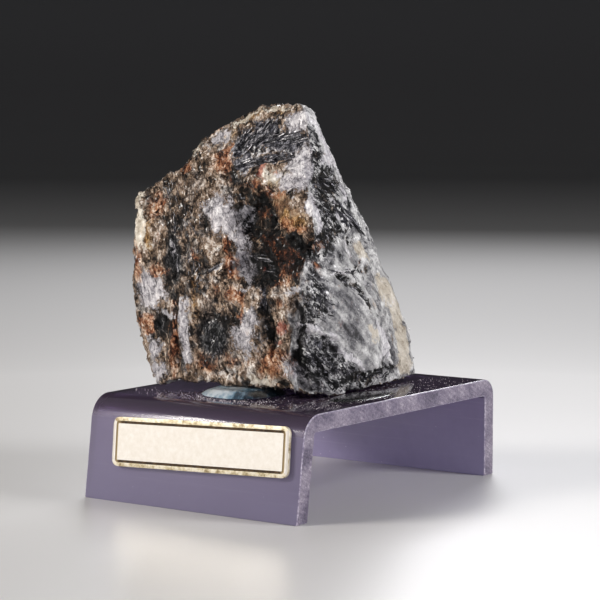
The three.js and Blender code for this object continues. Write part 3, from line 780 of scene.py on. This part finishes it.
# Beds of stibnite blades: face, line they lie along, half spread, count, lengths, widths,
# direction in degrees and its scatter
bladeBeds = [
    ("front", (-4, 80), (4, 83), 2.6, 60, (1.4, 3.6), (0.16, 0.36), 48, 14),
    ("front", (4, 81.5), (14, 81.5), 1.7, 60, (1.8, 4.6), (0.16, 0.4), 10, 10),
    ("front", (0, 83.5), (8, 86), 1.3, 30, (1.5, 3.6), (0.15, 0.32), 50, 10),
    ("front", (-2.5, 75.8), (11.5, 78), 1.1, 60, (1.5, 4.5), (0.16, 0.4), 13, 9),
    ("front", (5, 55.2), (11.5, 51.8), 1.1, 30, (2.5, 5.5), (0.08, 0.16), -3, 5),
    ("front", (-17.6, 61), (-16.4, 50), 0.9, 34, (2, 5.5), (0.14, 0.34), 92, 10),
    ("front", (-5.6, 52.1), (-3.6, 51), 0.7, 6, (2.4, 4.2), (0.2, 0.4), 29, 6),
    ("front", (-24, 72), (-11, 60), 4.5, 90, (1.2, 3.2), (0.1, 0.22), 112, 16),
    ("front", (-13, 56), (-9, 47), 3, 45, (1, 2.6), (0.1, 0.24), 70, 35),
    ("front", (8.7, 49.5), (8.8, 44), 0.5, 16, (1.5, 3), (0.14, 0.3), 92, 12),
    ("front", (-7, 39), (-3, 31), 2.6, 45, (1, 2.5), (0.1, 0.24), 75, 40),
    ("side", (-3.2, 66.2), (4.8, 60.6), 1.8, 18, (4, 8), (0.35, 0.75), -35, 3),
    ("side", (-12, 72.5), (-3, 71), 2.2, 36, (1, 3), (0.16, 0.42), -20, 40),
    ("side", (-13, 68), (-10, 58), 2.6, 60, (1, 3), (0.14, 0.36), -50, 35),
    ("side", (-10, 52), (-1.5, 51.4), 0.5, 12, (1.8, 3.6), (0.22, 0.5), 0, 12),
    ("side", (-7, 50.6), (1, 45), 0.7, 26, (1, 2.4), (0.18, 0.4), -35, 30),
    ("side", (-16, 50), (-14, 42), 3, 60, (0.8, 2.2), (0.14, 0.36), -40, 50),
    ("side", (-17, 34), (-6, 28), 3, 70, (1.2, 3.2), (0.14, 0.4), -35, 25),
    ("side", (-2, 27.5), (13, 26.6), 1, 50, (1, 2.6), (0.16, 0.42), 10, 35),
    ("back", (-20, 48), (4, 60), 2.6, 90, (1.5, 4.5), (0.18, 0.42), 25, 20),
    ("back", (-18, 36), (-4, 38), 2, 50, (1.5, 4), (0.16, 0.4), 12, 20),
    ("back", (-2, 78), (6, 80), 1.6, 40, (1.5, 3.5), (0.16, 0.36), -12, 25),
]


def bladeAim(face, across, up, angle):
    # from outside the stone: where the ray starts, its direction, and which way the blade lies
    if face == "side":
        return Vector((0.2, across, up)), Vector((-1, 0, 0)), Vector((0, math.cos(angle), math.sin(angle)))
    out = -1 if face == "front" else 1
    along = Vector((math.cos(angle), 0, math.sin(angle)))
    return Vector((across, 0.2 * out, up)), Vector((0, -out, 0)), along


def makeBlades(stone):
    # every blade lies on the surface, below a random place of its bed
    draw = random.Random(stoneLook["bladeSeed"])
    mesh = stone.data
    tree = BVHTree.FromPolygons([v.co for v in mesh.vertices], [p.vertices for p in mesh.polygons])
    low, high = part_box("stibnite_specimen")
    spots = []
    for face, start, end, spread, count, lengths, widths, direction, wander in bladeBeds:
        run, rise = end[0] - start[0], end[1] - start[1]
        lean = math.atan2(rise, run) + math.pi / 2
        for _ in range(count):
            t = draw.random()
            aside = draw.gauss(0, 0.5) * spread
            across = start[0] + run * t + aside * math.cos(lean)
            up = start[1] + rise * t + aside * math.sin(lean)
            angle = math.radians(direction + draw.gauss(0, 0.6) * wander)
            origin, ray, along = bladeAim(face, across * mm, up * mm, angle)
            hit, normal, _, _ = tree.ray_cast(origin, ray)
            length, width = draw.uniform(*lengths), draw.uniform(*widths)
            thickness = width * draw.uniform(0.16, 0.34)
            if hit is None:
                continue
            normal = (normal - 1.2 * ray).normalized()
            beside, normal, along = layOn(normal, along, draw.gauss(0, 0.05))
            centre = hit + normal * thickness * (draw.uniform(-0.6, 0.2) + 2 * widths[0]) * mm
            reach = Vector(abs(c) for c in along) * length * 0.5 * mm
            if any(centre[k] - reach[k] < low[k] or centre[k] + reach[k] > high[k] for k in range(3)):
                continue
            columns = Matrix((beside * width * 0.5 * mm, normal * thickness * mm, along * length * mm))
            spots.append((draw.randrange(2), columns.transposed(), np.array(centre), {"tone": draw.random()}))
    blades = prismShapes(6, 0.7, 0.15, ((0.35, 0.5), (0.7, 0.5)))
    scatter("stibniteBlades", blades, spots, bladeMaterial())


def bladeMaterial():
    blade = Shader("stibniteBlade")
    where = blade.place()
    fine = blade.noise(where, 2.5, 4, 0.7)
    tone = blade.sum((blade.field("tone"), 0.7), (fine, 0.6))
    colour = blade.ramp(tone, [(0.25, "#0b0b0e"), (0.5, "#232327"), (0.75, "#4b4a50"), (0.92, "#908e92"),
                               (1, "#d2d0d2")])
    rough = blade.ramp(fine, [(0.3, "#383838"), (0.7, "#808080")])
    blade.set(Base_Color=colour, Metallic=0.5, Roughness=rough, Normal=blade.bump(fine, 0.15 * mm, 0.6))
    return blade.material


def rockPatterns(rock):
    # the noises, chips and stored values that the stone's colour and relief are mixed from
    where = rock.place()
    drift = rock.noise(where, 0.6, 1.5, 0.5, out="Color")
    drift = rock.vector("SUBTRACT", drift, (0.5, 0.5, 0.5))
    drift = rock.add("VectorMath", {0: drift, "Scale": 1.3}, operation="SCALE").outputs[0]
    warped = rock.vector("ADD", where, drift)
    frontFlow = rock.turned(warped, (0, 0.3, 0), (1, 1, 0.5))
    sideFlow = rock.turned(warped, (0.62, 0, 0), (1, 0.35, 1))
    rock.plates, rock.plateHeight = rock.facets(frontFlow, 0.75)
    rock.grains, rock.grainHeight = rock.facets(frontFlow, 1.9)
    rock.crumbs = rock.channels(rock.cells(warped, 3.8, out="Color"))
    rock.broad, rock.broadHeight = rock.facets(sideFlow, 0.3)
    rock.needles, rock.needleHeight = rock.facets(sideFlow, 1.7)
    rock.clouds = rock.channels(rock.noise(where, 0.3, 4.0, 0.55, out="Color"))
    rock.wisps = rock.channels(rock.noise(frontFlow, 1.2, 5.0, 0.72, out="Color"))
    rock.veils = rock.channels(rock.noise(sideFlow, 0.7, 6.0, 0.66, out="Color"))
    rock.fibre = rock.noise(rock.place((1300, 1300, 240), (0, 14, 0)), 1.3, 4, 0.7, 0.4)
    # dark gaps between the grains: painted shade where grains meet, and fine seams in the bump
    rock.cracks = rock.step(rock.cells(warped, 0.55, "DISTANCE_TO_EDGE"), 0.07, 0.0)
    rock.relief = rock.field("relief")
    rock.side = rock.step(rock.field("side"), 0.3, 0.7)
    rock.looseTone = rock.math("SUBTRACT", rock.field("tone"), 0.5)
    rock.salt = rock.noise(sideFlow, 3.2, 3, 0.7)


def sharpMask(rock, name, channel, rough):
    # where a mineral shows: its field's edge is broken up by clouds, wisps and single grains
    wisp = rock.blend(rock.side, rock.wisps[channel], rock.veils[channel])
    shift = rock.sum((rock.clouds[(channel + 1) % 3], 1.2 * rough), (wisp, 1.3 * rough),
                     (rock.crumbs[channel], 0.2 * rough))
    value = rock.math("ADD", rock.field(name), rock.math("SUBTRACT", shift, rough * 1.35))
    if name == "black":
        # on the side the black parts let white grains through
        value = rock.sum((value, 1.0), (rock.times(rock.side, rock.math("SUBTRACT", rock.salt, 0.52)), 1.7))
    return rock.step(value, 0.42, 0.6)


def stainMask(rock, name, channel):
    # where a stain shows: it spreads softly across the grains
    shift = rock.sum((rock.clouds[channel], 1.1), (rock.veils[(channel + 1) % 3], 0.6),
                     (rock.plates[channel], 0.24), (rock.grains[channel], 0.16))
    value = rock.math("ADD", rock.field(name), rock.math("SUBTRACT", shift, 1.02))
    return rock.step(value, 0.26, 0.78, 0.85)


def rockTones(rock):
    # how light each place is, for each kind of ground; each grain has a random value of its own. Low places,
    # the shade patches and the gaps between grains are painted darker and raised places lighter: painted
    # shade and light
    clouds, wisps, crumbs = rock.clouds, rock.wisps, rock.crumbs
    light = rock.sum((rock.grains[0], 0.26), (crumbs[1], 0.14), (rock.plates[1], 0.26),
                     (rock.step(wisps[0], 0.3, 0.7), 0.3), (rock.step(rock.fibre, 0.32, 0.68), 0.18),
                     (rock.step(clouds[1], 0.3, 0.7), 0.3), (rock.relief, 0.16), (rock.looseTone, 0.25),
                     (rock.field("pale"), 0.24), (rock.field("slate"), -0.17), (rock.field("shade"), -0.3),
                     (rock.cracks, -0.12))
    light = rock.math("SUBTRACT", light, 0.3)
    smooth = rock.sum((rock.step(rock.veils[0], 0.3, 0.7), 0.3), (rock.step(clouds[0], 0.3, 0.7), 0.26),
                      (rock.step(wisps[2], 0.3, 0.7), 0.14), (crumbs[2], 0.1), (rock.relief, 0.14),
                      (rock.looseTone, 0.4), (rock.cracks, -0.06))
    # glassy stretches: one slow cloud, faint strokes that run down with the cleavage
    strokes = rock.noise(rock.place((1000, 200, 1300), (36, 0, 0)), 0.7, 4, 0.55)
    strokes = rock.step(strokes, 0.3, 0.7)
    glassy = rock.sum((rock.step(clouds[1], 0.3, 0.7), 0.2), (strokes, 0.18), (rock.relief, 0.12),
                      (rock.broad[0], 0.05), (crumbs[0], 0.12), (wisps[2], 0.14),
                      (rock.field("shade"), -0.1), (rock.looseTone, 0.3))
    calm = rock.times(rock.step(rock.field("calm"), 0.15, 0.7), 0.92)
    smooth = rock.blend(calm, smooth, glassy)
    # the dark parts of the side are a mix of black needles and white grains
    specks = rock.sum((rock.salt, 0.5), (rock.needles[1], 0.16), (rock.veils[1], 0.36), (strokes, 0.16))
    specks = rock.step(specks, 0.66, 0.52)
    smooth = rock.sum((smooth, 1.0), (rock.field("shade"), -0.24))
    smooth = rock.math("SUBTRACT", rock.math("ADD", smooth, 0.14),
                       rock.times(rock.step(rock.field("dark"), 0.1, 0.6), rock.blend(specks, 0.0, 0.62)))
    # stibnite runs in strands that climb to the right
    strands = rock.noise(rock.place((260, 900, 1500), (0, 38, 0)), 0.8, 4, 0.65, 0.5)
    strands = rock.sum((light, 0.62), (rock.step(strands, 0.34, 0.66), 0.34))
    # quartz of the front: cloudy, cut by fine seams, with painted shade between the grains
    milky = rock.sum((smooth, 0.55), (rock.step(wisps[1], 0.3, 0.7), 0.3),
                     (rock.step(rock.fibre, 0.3, 0.7), 0.16), (rock.plates[0], 0.14), (rock.cracks, -0.16),
                     (rock.field("shade"), -0.2))
    milky = rock.math("SUBTRACT", milky, 0.03)
    return {"light": light, "smooth": smooth, "milky": milky, "strands": strands}


# The stone's own colours from dark to light, then the layers that cover it one after another:
# name, tone it follows, noise channel, how ragged its edge is (none for a soft stain), colours
rockGround = {
    "brown": [(0.2, "#120e0b"), (0.34, "#392d24"), (0.45, "#635142"), (0.57, "#8a7562"),
              (0.7, "#b29d8a"), (0.88, "#e9dfd4")],
    "grey": [(0.2, "#0a0a0c"), (0.36, "#2e2f31"), (0.48, "#5a5a5c"), (0.59, "#848280"),
             (0.72, "#b2afac"), (0.88, "#edeae7")],
    "side": [(0.18, "#060607"), (0.31, "#2c2b2d"), (0.42, "#68676a"), (0.53, "#9a9998"),
             (0.64, "#c4c3c1"), (0.79, "#f3f2ef")],
}
rockLayers = [
    ("honey", "smooth", 2, 0.8, [(0.28, "#1a110b"), (0.5, "#493524"), (0.66, "#775941"), (0.9, "#c0a98c")]),
    ("cream", "smooth", 1, 0.8, [(0.15, "#564d42"), (0.36, "#998d7d"), (0.56, "#c3baaa"), (0.82, "#efe9de")]),
    ("quartz", "milky", 0, 0.9, [(0.2, "#2c2b2e"), (0.36, "#6a676b"), (0.5, "#949195"), (0.64, "#b9b5b8"),
                                 (0.85, "#e8e4e4")]),
    ("ochre", "light", 2, None, [(0.2, "#1c1108"), (0.36, "#5f421f"), (0.52, "#9c733c"), (0.68, "#cba671"),
                                 (0.86, "#efdfc2")]),
    ("rust", "light", 0, None, [(0.2, "#1a0904"), (0.36, "#552b19"), (0.5, "#925838"), (0.66, "#bf8c66"),
                                (0.86, "#ead0b8")]),
    ("white", "milky", 1, 1.0, [(0.15, "#7d7b80"), (0.4, "#b1aeb1"), (0.65, "#dad7d8"), (0.88, "#f8f6f4")]),
    ("stibnite", "strands", 2, 0.9, [(0.15, "#101014"), (0.36, "#303036"), (0.54, "#606067"),
                                     (0.78, "#b4b3b8")]),
    ("black", "light", 1, 0.9, [(0.2, "#030303"), (0.46, "#100e0d"), (0.64, "#332c27"), (0.88, "#a89c90")]),
    ("red", "light", 1, None, [(0.2, "#260806"), (0.48, "#7c2b1e"), (0.8, "#c58a74")]),
]


def rockColour(rock):
    tones = rockTones(rock)
    brown = rock.ramp(tones["light"], rockGround["brown"])
    grey = rock.ramp(tones["light"], rockGround["grey"])
    greyness = rock.math("MAXIMUM", rock.step(rock.clouds[2], 0.5, 0.68, 0.75),
                         rock.step(rock.field("slate"), 0.2, 0.7))
    colour = rock.mix(greyness, brown, grey)
    colour = rock.mix(rock.side, colour, rock.ramp(tones["smooth"], rockGround["side"]))
    masks = {}
    for name, tone, channel, rough, stops in rockLayers:
        masks[name] = sharpMask(rock, name, channel, rough) if rough else stainMask(rock, name, channel)
        colour = rock.mix(masks[name], colour, rock.ramp(tones[tone], stops))
    return colour, masks


def rockBump(rock, masks):
    # quartz, cream and the sides are smoother than the brown ground
    height = rock.sum((rock.plateHeight, 0.9), (rock.grainHeight, 0.75), (rock.wisps[0], 0.2),
                      (rock.fibre, 0.18), (rock.crumbs[1], 0.04), (rock.cracks, -0.08))
    firm = rock.math("MAXIMUM", rock.times(masks["honey"], 0.8), masks["cream"])
    quiet = rock.math("MAXIMUM", rock.times(masks["quartz"], 0.85), firm)
    quietSide = rock.times(rock.side, rock.blend(rock.field("calm"), 0.6, 1.15))
    quiet = rock.math("MAXIMUM", quiet, quietSide, clamp=True)
    sideHeight = rock.sum((rock.broadHeight, 0.35), (rock.needleHeight, 0.4))
    return rock.sum((rock.times(height, rock.blend(quiet, 1.0, 0.12)), 1.0),
                    (rock.times(sideHeight, rock.side), 1.0))


def stoneMaterial():
    rock = Shader("stibniteRock")
    rockPatterns(rock)
    colour, masks = rockColour(rock)
    shine = rock.blend(masks["stibnite"], 0.62, 0.3)
    shine = rock.math("ADD", shine, rock.times(rock.grains[1], 0.2), clamp=True)
    metal = rock.times(masks["stibnite"], 0.7)
    height = rockBump(rock, masks)
    # a few of the flat grains are glassy and glint
    glint = rock.times(rock.step(rock.grains[2], 0.8, 0.86), rock.blend(masks["black"], 1.0, 0.5))
    sideGlint = rock.times(rock.side, rock.step(rock.field("calm"), 0.2, 0.8, 0.5))
    glint = rock.math("MAXIMUM", glint, sideGlint)
    rock.set(Base_Color=colour, Roughness=shine, Metallic=metal, Normal=rock.bump(height, 1 * mm),
             Specular_IOR_Level=0.22, Coat_Weight=glint, Coat_Roughness=0.22)
    return rock.material


standLook = {
    "edge": 0.35 * mm, "tint": "#8575ab", "density": 170, "ior": 1.49,
    "clearAbove": 23.2 * mm, "hazeBelow": 16 * mm,
    "crumbs": 1300, "crumbSize": (0.03, 0.1), "beads": 34, "beadSize": (0.05, 0.16), "dustSeed": 23,
}


def makeStand():
    stand = copyNode("acrylic_stand", "acrylicStand")
    bpy.ops.object.mode_set(mode="EDIT")
    bpy.ops.mesh.select_all(action="SELECT")
    bpy.ops.mesh.dissolve_limited(angle_limit=math.radians(1))
    bpy.ops.object.mode_set(mode="OBJECT")
    applyModifier(stand, "BEVEL", width=standLook["edge"], segments=2, limit_method="ANGLE",
                  angle_limit=math.radians(40))
    activate(stand)
    bpy.ops.object.shade_smooth_by_angle(angle=math.radians(35))
    up = readPoints(stand.data)[:, 2]
    # 1 on the legs, 0 on the top: it sets the haze, the painted light of the legs and the painted shade of
    #                              the top
    storeFields(stand, {"hazeAndLegLight": 1 - smoothStep(standLook["hazeBelow"], standLook["clearAbove"], up)})
    for material in (acrylicMaterial(), sawnMaterial(), chamferMaterial()):
        stand.data.materials.append(material)
    for face in stand.data.polygons:
        sideways = abs(face.normal.x)
        if sideways > 0.95 or face.normal.z < -0.95 and face.center.z < 1 * mm:
            face.material_index = 1
        elif sideways > 0.25:
            face.material_index = 2
    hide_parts("acrylic_stand")
    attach(stand, "root")
    print("stand", len(stand.data.polygons), "faces")


def tintInside(shader):
    inputs = {"Color": standLook["tint"], "Density": standLook["density"]}
    volume = shader.add("VolumeAbsorption", inputs).outputs[0]
    shader.links.new(volume, shader.output.inputs["Volume"])


def acrylicMaterial():
    # the legs are hazed and scatter some light at once, the polished top is nearly clear; the legs are also
    # painted lighter and the top darker, painted light and shade
    sheet = Shader("violetAcrylic")
    where = sheet.place()
    cloud = sheet.noise(where, 0.05, 3)
    smears = sheet.noise(where, 0.35, 4, 0.7)
    hazeAndLegLight = sheet.field("hazeAndLegLight")
    along = sheet.add("SeparateXYZ", {"Vector": where}).outputs
    # the rear leg sits in shade under the top and is painted lighter: painted light
    rear = sheet.step(along["Y"], 15, 30)
    glow = sheet.mix(rear, "#918aa9", "#b0a8cc")
    tone = sheet.mix(sheet.sum((cloud, 0.6), (smears, 0.4)), sheet.mix(rear, "#857e9c", "#8a80a8"), glow)
    scratches = sheet.step(sheet.noise(sheet.place((30, 30, 1400)), 0.6, 4, 0.7), 0.56, 0.74, 0.25)
    dots = sheet.step(sheet.cells(where, 0.3), 0.06, 0.03, 0.8)
    marked = sheet.times(sheet.math("MAXIMUM", scratches, dots), sheet.blend(rear, 0.3, 1.0))
    # painted shade: the clear top gets a darker colour than the legs
    tone = sheet.mix(hazeAndLegLight, "#84708a", sheet.mix(marked, tone, "#d8d2e4"))
    sheet.set(Base_Color=tone, IOR=standLook["ior"],
              Roughness=sheet.blend(hazeAndLegLight, sheet.ramp(smears, [(0.4, "#060606"), (0.75, "#1c1c1c")]), 0.42),
              Transmission_Weight=sheet.blend(hazeAndLegLight, 0.86, sheet.blend(rear, 0.42, 0.3)),
              Normal=sheet.bump(sheet.noise(where, 0.06, 1), 0.3 * mm, 0.15))
    tintInside(sheet)
    return sheet.material


def sawnMaterial():
    sawn = Shader("sawnAcrylic")
    where = sawn.place()
    marks = sawn.noise(sawn.place((260, 260, 1900), (28, 0, 0)), 1, 5, 0.75)
    grit = sawn.noise(where, 1.6, 6, 0.78)
    blotch = sawn.step(sawn.noise(where, 0.12, 3), 0.36, 0.62)
    tone = sawn.sum((blotch, 0.14), (grit, 0.58), (marks, 0.36))
    # painted glints: small near-white spots in the sawn edge's colour
    paintedGlints = sawn.step(sawn.cells(where, 2.2), 0.16, 0.04)
    colour = sawn.ramp(tone, [(0.4, "#50495b"), (0.5, "#847a92"), (0.6, "#a99db0"), (0.7, "#e3dbe4")])
    sawn.set(Base_Color=sawn.mix(paintedGlints, colour, "#fbf6fd"), Roughness=0.3, IOR=standLook["ior"],
             Transmission_Weight=0.3,
             Normal=sawn.bump(sawn.sum((marks, 0.5), (grit, 0.8)), 0.5 * mm, 0.9))
    tintInside(sawn)
    return sawn.material


def chamferMaterial():
    chamfer = Shader("chamferedEdge")
    # the chamfers are painted pale: painted highlight along the polished bevels, broken up by noise
    glintNoise = chamfer.noise(chamfer.place(), 1.4, 5, 0.75)
    chamfer.set(Base_Color=chamfer.ramp(glintNoise, [(0.38, "#85799a"), (0.5, "#b9aec4"), (0.62, "#efe9f2")]),
                Roughness=0.35, IOR=standLook["ior"], Transmission_Weight=0.3,
                Normal=chamfer.bump(glintNoise, 0.3 * mm, 0.8))
    tintInside(chamfer)
    return chamfer.material


def makeDust():
    # crumbs shed by the stone, thickest beside the glue and along the right of the sheet
    draw = random.Random(standLook["dustSeed"])
    low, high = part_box("acrylic_stand")
    spots = []
    for _ in range(standLook["crumbs"]):
        if draw.random() < 0.6:
            x, y = draw.gauss(2, 12) * mm, draw.gauss(-27, 3.4) * mm
        else:
            x, y = draw.uniform(20, 32) * mm, draw.uniform(-28, 36) * mm
        if not (low.x + 1.5 * mm < x < high.x - 1.5 * mm and -31 * mm < y < 35 * mm):
            continue
        size = draw.uniform(*standLook["crumbSize"]) * mm
        turn = Matrix.Rotation(draw.uniform(0, 6.28), 3, "Z") @ Matrix.Rotation(draw.uniform(0, 6.28), 3, "X")
        shape = turn @ Matrix.Diagonal((size, size * 0.8, size * 1.3))
        spots.append((draw.randrange(6), shape, (x, y, high.z + 0.5 * size), {"tone": draw.random()}))
    # beads of glue and grit caught along the front rim of the pad
    padLow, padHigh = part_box("glue_pad")
    for _ in range(standLook["beads"]):
        angle = math.radians(draw.uniform(222, 315))
        reach = (padHigh - padLow) / 2 * draw.uniform(1.01, 1.1)
        x = (padLow.x + padHigh.x) / 2 + reach.x * math.cos(angle)
        y = (padLow.y + padHigh.y) / 2 + reach.y * math.sin(angle)
        size = draw.uniform(*standLook["beadSize"]) * mm
        shape = Matrix.Diagonal((size, size, size * 1.2))
        spots.append((draw.randrange(6), shape, (x, y, high.z + 0.8 * size), {"tone": draw.random()}))
    scatter("dustCrumbs", grainShapes(), spots, crumbMaterial())


def crumbMaterial():
    crumb = Shader("crumbs")
    crumb.set(Base_Color=crumb.ramp(crumb.field("tone"), [(0, "#8d8288"), (0.6, "#cfc4c8"), (1, "#f4f0ee")]),
              Roughness=0.6, Normal=crumb.bump(crumb.noise(crumb.place(), 6), 0.05 * mm))
    return crumb.material


plateLook = {
    "size": (49 * mm, 11.2 * mm, 1 * mm), "corner": 1.7 * mm, "lean": 8, "turn": 2.3, "middle": 5.8,
    "border": 0.9 * mm, "line": 0.58 * mm, "depth": 0.2 * mm, "edge": 0.14 * mm,
}


def makePlate():
    # added flat, given round corners and an engraved border, then leaned onto the leg
    size, border, line, depth = (plateLook[key] for key in ("size", "border", "line", "depth"))
    deselect()
    bpy.ops.mesh.primitive_cube_add(size=1, scale=size)
    plate = bpy.context.object
    plate.name = "labelPlate"
    bpy.ops.object.mode_set(mode="EDIT")
    pick(plate, "EDGE", lambda edge: abs(edge.verts[0].co.z - edge.verts[1].co.z) > 0.5 * mm)
    bpy.ops.mesh.bevel(offset=plateLook["corner"], segments=10, affect="EDGES")
    pick(plate, "FACE", lambda face: face.normal.z > 0.9)
    bpy.ops.mesh.inset(thickness=border)
    bpy.ops.mesh.inset(thickness=line * 0.35, depth=-depth)
    bpy.ops.mesh.inset(thickness=line * 0.3)
    bpy.ops.mesh.inset(thickness=line * 0.35, depth=depth)
    bpy.ops.object.mode_set(mode="OBJECT")
    for material in (brassMaterial(), grooveMaterial(), rimMaterial()):
        plate.data.materials.append(material)
    top = max(face.center.z for face in plate.data.polygons)
    for face in plate.data.polygons:
        below = top - face.center.z
        within = abs(face.center.x) < size[0] / 2 - 0.5 * border
        if within and 0.2 * depth < below < 1.08 * depth:
            face.material_index = 1
        elif not within or face.normal.z < 0.5 or abs(face.center.y) > size[1] / 2 - border:
            face.material_index = 2
    applyModifier(plate, "BEVEL", width=plateLook["edge"], segments=2, limit_method="ANGLE",
                  angle_limit=math.radians(60))
    low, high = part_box("label_plate")
    lean = Matrix.Rotation(math.radians(90 - plateLook["lean"]), 4, "X")
    turn = Matrix.Rotation(math.radians(plateLook["turn"]), 4, "Z")
    plate.data.transform(Matrix.Translation((low + high) / 2) @ lean @ turn)
    activate(plate)
    bpy.ops.object.shade_smooth_by_angle(angle=math.radians(35))
    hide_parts("label_plate")
    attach(plate, "root")
    print("label plate")


def brassMaterial():
    brass = Shader("paleBrass")
    brushed = brass.noise(brass.place((60, 900, 2500)), 1, 4, 0.6)
    spots = brass.noise(brass.place(), 0.8, 5, 0.7)
    colour = brass.ramp(spots, [(0.3, "#ded7cb"), (0.5, "#e4ded4"), (0.7, "#eae6de")])
    rough = brass.ramp(brushed, [(0.3, "#666666"), (0.7, "#888888")])
    brass.set(Base_Color=colour, Metallic=0.2, Roughness=rough, Normal=brass.bump(brushed, 0.02 * mm, 0.4))
    return brass.material


def rimMaterial():
    # the rim and the plate's sides are a darker gold: the rim's own colour, and painted shade on the sides
    rim = Shader("darkGoldRim")
    rimMottle = rim.noise(rim.place(), 0.7, 5, 0.7)
    colour = rim.ramp(rimMottle, [(0.34, "#8d7b59"), (0.46, "#c6b896"), (0.58, "#e2dac6")])
    rim.set(Base_Color=colour, Metallic=0.3, Roughness=0.5, Normal=rim.bump(rimMottle, 0.08 * mm, 0.6))
    return rim.material


def grooveMaterial():
    groove = Shader("darkGroove")
    # the engraved line is dark along the top and the bottom and paler at its ends
    grooveMottle = groove.noise(groove.place(), 1.2, 4, 0.7)
    across = groove.add("SeparateXYZ", {"Vector": groove.place()}).outputs["X"]
    middle = plateLook["middle"]
    ends = groove.step(groove.math("ABSOLUTE", groove.math("SUBTRACT", across, middle)), 22.3, 23.2, 0.8)
    dark = groove.ramp(grooveMottle, [(0.35, "#1c120b"), (0.65, "#5b4223")])
    groove.set(Base_Color=groove.mix(ends, dark, "#a8946c"), Metallic=0.3, Roughness=0.6)
    return groove.material


glueLook = {"voxel": 0.3 * mm, "swell": 0.4, "slope": 0.3, "ior": 1.46}


def makePad():
    pad = copyNode("glue_pad", "gluePad")
    applyModifier(pad, "REMESH", mode="VOXEL", voxel_size=glueLook["voxel"])
    applyModifier(pad, "SMOOTH", factor=0.6, iterations=4)
    points = readPoints(pad.data) / mm
    normals = readPoints(pad.data, "vertices", "normal")
    shaped = points + normals * (glueLook["swell"] * rockNoise(points, 4.5, octaves=1) - 0.15)[:, None]
    low, high = (np.array(c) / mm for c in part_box("glue_pad"))
    # the pad swells up from a thin rim to where the stone sits in it
    reach = np.hypot(*((shaped - (low + high) / 2) / (high - low) * 2)[:, :2].T)
    swell = np.clip((1.02 - reach) / glueLook["slope"], 0.12, 1) ** 0.7
    shaped[:, 2] = low[2] + (shaped[:, 2] - low[2]) * swell
    writePoints(pad.data, np.clip(shaped, low, high) * mm)
    activate(pad)
    bpy.ops.object.shade_smooth()
    pad.data.materials.append(milkyGlueMaterial())
    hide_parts("glue_pad")
    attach(pad, "root")
    print("glue pad")


def milkyGlueMaterial():
    # pale on the left, darker where it runs out to the right: a painted highlight on the left and the stone's
    # painted shadow on the right, over milky swirls
    glue = Shader("milkyGlue")
    where = glue.place()
    swirl = glue.noise(glue.place((1300, 400, 1000), (0, 0, -25)), 0.5, 5, 0.65)
    along = glue.add("SeparateXYZ", {"Vector": where}).outputs["X"]
    swirlAndPaintedLight = glue.sum((swirl, 0.75), (glue.step(along, 10, 2), 0.4))
    colour = glue.ramp(swirlAndPaintedLight, [(0.38, "#10181f"), (0.52, "#3c5161"), (0.66, "#86a3b5"), (0.84, "#e4eef4")])
    glue.set(Base_Color=colour, Roughness=0.1, Transmission_Weight=0.3, IOR=glueLook["ior"],
             Normal=glue.bump(swirl, 0.6 * mm, 0.5))
    return glue.material


def makeFilm():
    film = copyNode("glue_film", "glueFilm")
    activate(film)
    bpy.ops.object.shade_smooth()
    film.data.materials.append(clearGlueMaterial())
    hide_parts("glue_film")
    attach(film, "root")
    print("glue film")


def clearGlueMaterial():
    clear = Shader("clearGlue")
    clear.set(Base_Color=clear.mix(clear.noise(clear.place(), 0.6, 4), "#f4f4f6", "#e6e4ea"), Roughness=0.1,
              Transmission_Weight=1.0, IOR=glueLook["ior"], Specular_IOR_Level=0.25,
              Normal=clear.bump(clear.noise(clear.place(), 0.3, 3), 0.4 * mm, 0.2))
    return clear.material


makeCamera()
makeFloor()
makeLights()
stone = makeStone()
makeBlades(stone)
makeStand()
makeDust()
makePlate()
makePad()
makeFilm()
